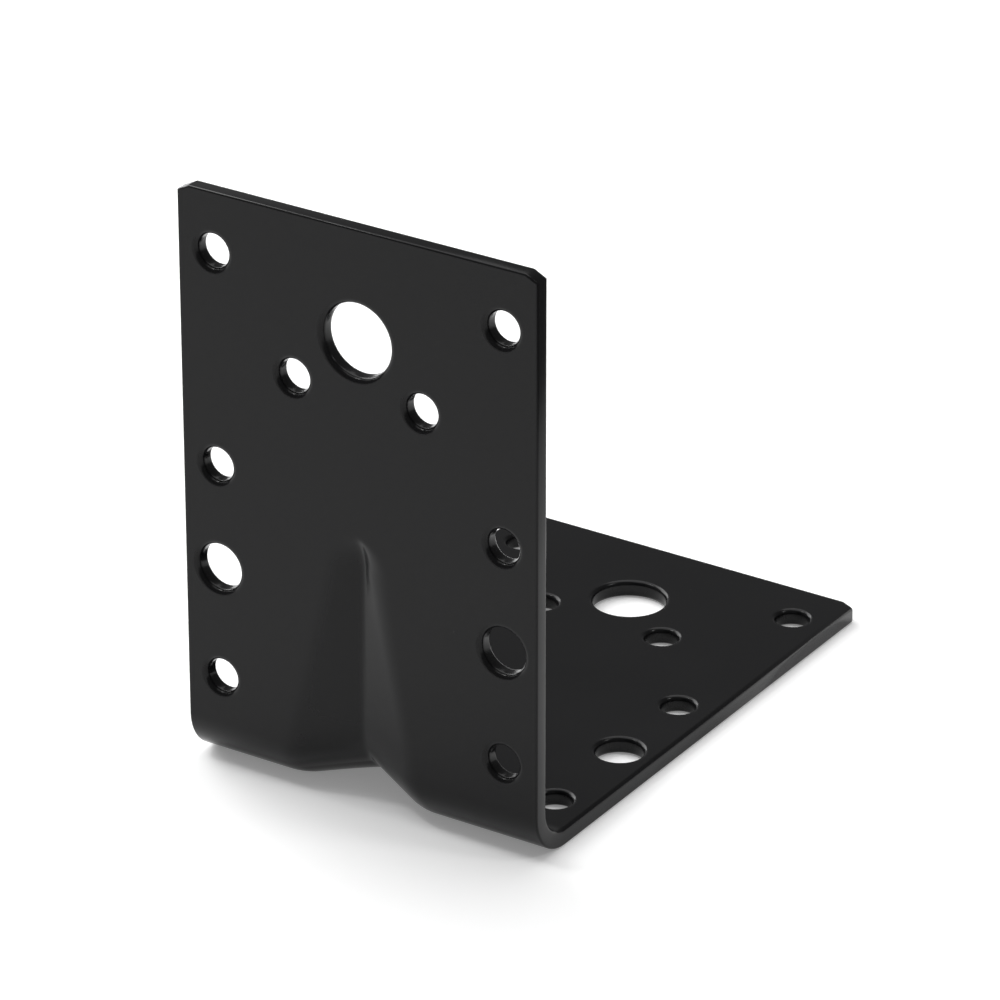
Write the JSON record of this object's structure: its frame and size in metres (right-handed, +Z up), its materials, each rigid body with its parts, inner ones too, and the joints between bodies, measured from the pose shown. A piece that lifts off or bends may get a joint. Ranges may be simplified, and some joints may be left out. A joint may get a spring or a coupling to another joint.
{
  "type": "angle bracket",
  "caption": "Black powder-coated steel angle bracket with a pressed rib through its heel and rows of screw and bolt holes in both legs.",
  "frame": {"origin": "centre of the footprint, on the flat leg's underside", "axes": "+Z up along the upright leg; the flat leg runs along +Y from the upright, whose outer face looks along -Y; X runs across the bracket"},
  "size_m": [0.0588, 0.089, 0.09],
  "materials": {
    "powder_coat": "semi-gloss black powder coat"
  },
  "bodies": {
    "root": {"angle_bracket": "powder_coat"}
  },
  "joints": []
}
